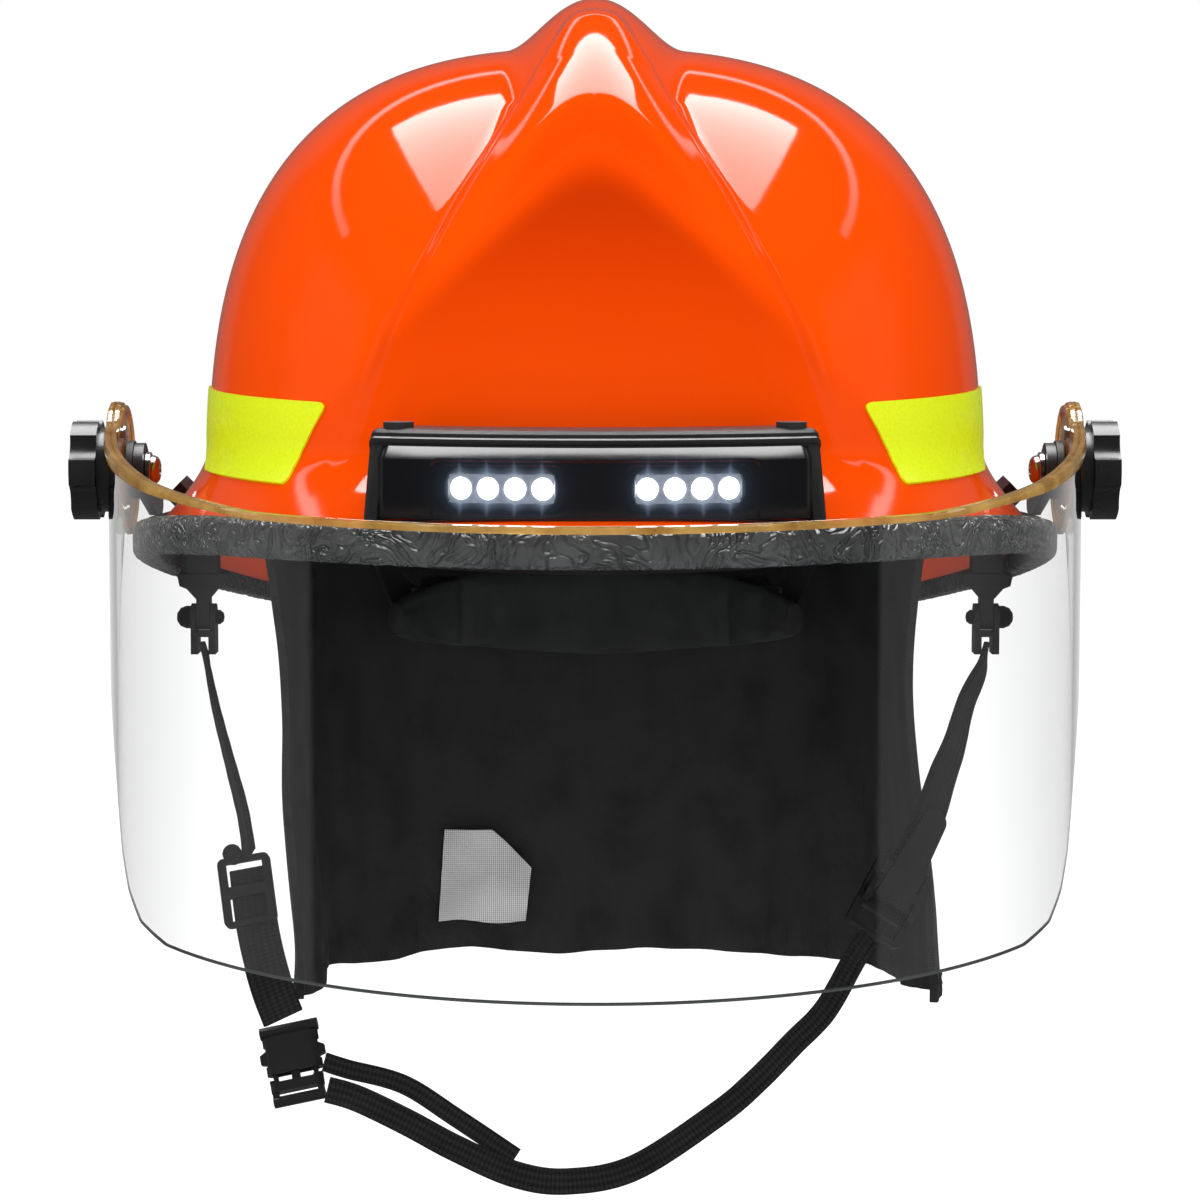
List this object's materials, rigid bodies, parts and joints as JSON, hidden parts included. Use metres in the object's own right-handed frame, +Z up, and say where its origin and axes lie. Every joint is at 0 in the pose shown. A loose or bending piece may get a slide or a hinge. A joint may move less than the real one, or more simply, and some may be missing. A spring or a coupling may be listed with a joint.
{
  "type": "fire helmet",
  "caption": "Wide-brimmed rescue helmet with crested glossy shell, clear face shield on tension knobs, front light bar, chinstrap, neck curtain and ratchet headband.",
  "frame": {"origin": "middle of the headband opening, level with the front edge of the brim", "axes": "+Z up, -Y the front that the wearer looks to, +X the wearer's left, which is the right side of a front view; left and right in node names are those of the front view"},
  "size_m": [0.321, 0.3817, 0.3597],
  "materials": {
    "shell_gloss": "glossy moulded and painted",
    "edge_rubber": "glossy wrinkled",
    "reflective_lime": "retroreflective sheet",
    "black_satin": "satin moulded",
    "black_gloss": "glossy moulded",
    "lamp_clear": "clear",
    "lamp_white": "lit white",
    "circuit_green": "solder mask",
    "cell_silver": "wrapped cell",
    "switch_gray": "satin",
    "steel": "plated",
    "button_rubber": "matte",
    "chrome_bolt": "polished",
    "washer_black": "matte",
    "shield_clear": "clear gloss",
    "frame_amber": "translucent amber",
    "knob_black": "satin moulded",
    "brass_insert": "turned",
    "screw_black": "black plated",
    "liner_foam": "moulded foam",
    "webbing_black": "woven webbing",
    "pad_fabric": "padded cloth",
    "nape_fabric": "padded cloth",
    "rack_nylon": "moulded nylon",
    "header_tape": "hook and loop",
    "curtain_cloth": "fire-resistant twill",
    "tag_white": "satin tape, bare",
    "buckle_black": "moulded acetal"
  },
  "bodies": {
    "helmet": {"shell": "shell_gloss", "edge_trim": "edge_rubber", "reflectors": "reflective_lime", "light_housing": "black_satin", "light_bezel": "black_gloss", "light_lenses": "lamp_clear", "light_emitters": "lamp_white", "light_board": "circuit_green", "battery_cells": "cell_silver", "button_switches": "switch_gray", "light_screws": "steel", "visor_bracket_left": "black_satin", "visor_bracket_right": "black_satin", "pivot_bolt_left": "chrome_bolt", "pivot_bolt_right": "chrome_bolt", "pivot_washers": "washer_black", "brim_screws": "screw_black", "brim_nuts": "steel", "chin_hanger_left": "black_satin", "chin_hanger_right": "black_satin", "hanger_pins": "screw_black", "impact_liner": "liner_foam", "crown_strap_lower": "webbing_black", "crown_strap_upper": "webbing_black", "suspension_clips": "black_satin", "headband": "black_satin", "headband_rivets": "steel", "brow_pad": "pad_fabric", "nape_arm_left": "black_satin", "nape_arm_right": "black_satin", "nape_housing": "black_satin", "nape_cover": "black_satin", "nape_pad": "nape_fabric", "curtain_header": "header_tape", "neck_curtain": "curtain_cloth", "care_tag": "tag_white"},
    "visor": {"visor_shield": "shield_clear", "visor_frame": "frame_amber", "visor_rivets": "steel"},
    "knob_left": {"visor_knob_left": "knob_black", "knob_insert_left": "brass_insert"},
    "knob_right": {"visor_knob_right": "knob_black", "knob_insert_right": "brass_insert"},
    "button_left": {"light_button_left": "button_rubber"},
    "button_right": {"light_button_right": "button_rubber"},
    "chinstrap": {"strap_forks": "black_satin", "strap_left": "webbing_black", "strap_slide": "buckle_black", "buckle_socket": "buckle_black", "buckle_plug": "buckle_black", "chin_webbing": "webbing_black", "chin_adjuster": "buckle_black", "strap_right": "webbing_black"},
    "prong_left": {"buckle_prong_left": "buckle_black"},
    "prong_right": {"buckle_prong_right": "buckle_black"},
    "lever": {"adjuster_lever": "buckle_black"},
    "ratchet": {"ratchet_knob": "knob_black", "ratchet_pinion": "rack_nylon"},
    "rack_body_left": {"rack_left": "rack_nylon"},
    "rack_body_right": {"rack_right": "rack_nylon"}
  },
  "joints": [
    {"name": "visor_tilt", "type": "hinge", "parent": "helmet", "child": "visor", "pos_m": [0, 0, 0.0096], "axis": [-1, 0, 0], "range_deg": [0, 95]},
    {"name": "knob_turn_left", "type": "hinge", "parent": "helmet", "child": "knob_left", "pos_m": [-0.154, 0, 0.0096], "axis": [-1, 0, 0], "range_deg": [-180, 180]},
    {"name": "knob_turn_right", "type": "hinge", "parent": "helmet", "child": "knob_right", "pos_m": [0.154, 0, 0.0096], "axis": [1, 0, 0], "range_deg": [-180, 180]},
    {"name": "button_press_left", "type": "slide", "parent": "helmet", "child": "button_left", "axis": [0, 0, -1], "range_m": [0, 0.001], "stiffness_N_per_m": 300},
    {"name": "button_press_right", "type": "slide", "parent": "helmet", "child": "button_right", "axis": [0, 0, -1], "range_m": [0, 0.001], "stiffness_N_per_m": 300},
    {"name": "chinstrap_swing", "type": "hinge", "parent": "helmet", "child": "chinstrap", "pos_m": [0, 0.028, -0.039], "axis": [-1, 0, 0], "range_deg": [-4, 30]},
    {"name": "prong_squeeze_left", "type": "hinge", "parent": "chinstrap", "child": "prong_left", "pos_m": [-0.09718, -0.03234, -0.17458], "axis": [0.0911, 0.8988, -0.4288], "range_deg": [0, 6], "stiffness_Nm_per_rad": 0.05},
    {"name": "prong_squeeze_right", "type": "hinge", "parent": "chinstrap", "child": "prong_right", "pos_m": [-0.08505, -0.03234, -0.172], "axis": [-0.0911, -0.8988, 0.4288], "range_deg": [0, 6], "stiffness_Nm_per_rad": 0.05},
    {"name": "lever_lift", "type": "hinge", "parent": "chinstrap", "child": "lever", "pos_m": [0.09067, -0.02424, -0.12124], "axis": [0.8406, 0, -0.5417], "range_deg": [0, 40]},
    {"name": "ratchet_turn", "type": "hinge", "parent": "helmet", "child": "ratchet", "pos_m": [0, 0.101, -0.042], "axis": [0, 1, 0], "range_deg": [-120, 120]},
    {"name": "rack_travel_left", "type": "hinge", "parent": "helmet", "child": "rack_body_left", "pos_m": [0, 0.018, -0.042], "axis": [0, 0, 1], "range_deg": [-7.8, 7.8]},
    {"name": "rack_travel_right", "type": "hinge", "parent": "helmet", "child": "rack_body_right", "pos_m": [0, 0.018, -0.042], "axis": [0, 0, 1], "range_deg": [-7.8, 7.8]}
  ],
  "couplings": [
    {"joint": "rack_travel_left", "follows": "ratchet_turn", "ratio": -0.063613},
    {"joint": "rack_travel_right", "follows": "ratchet_turn", "ratio": 0.062267}
  ]
}
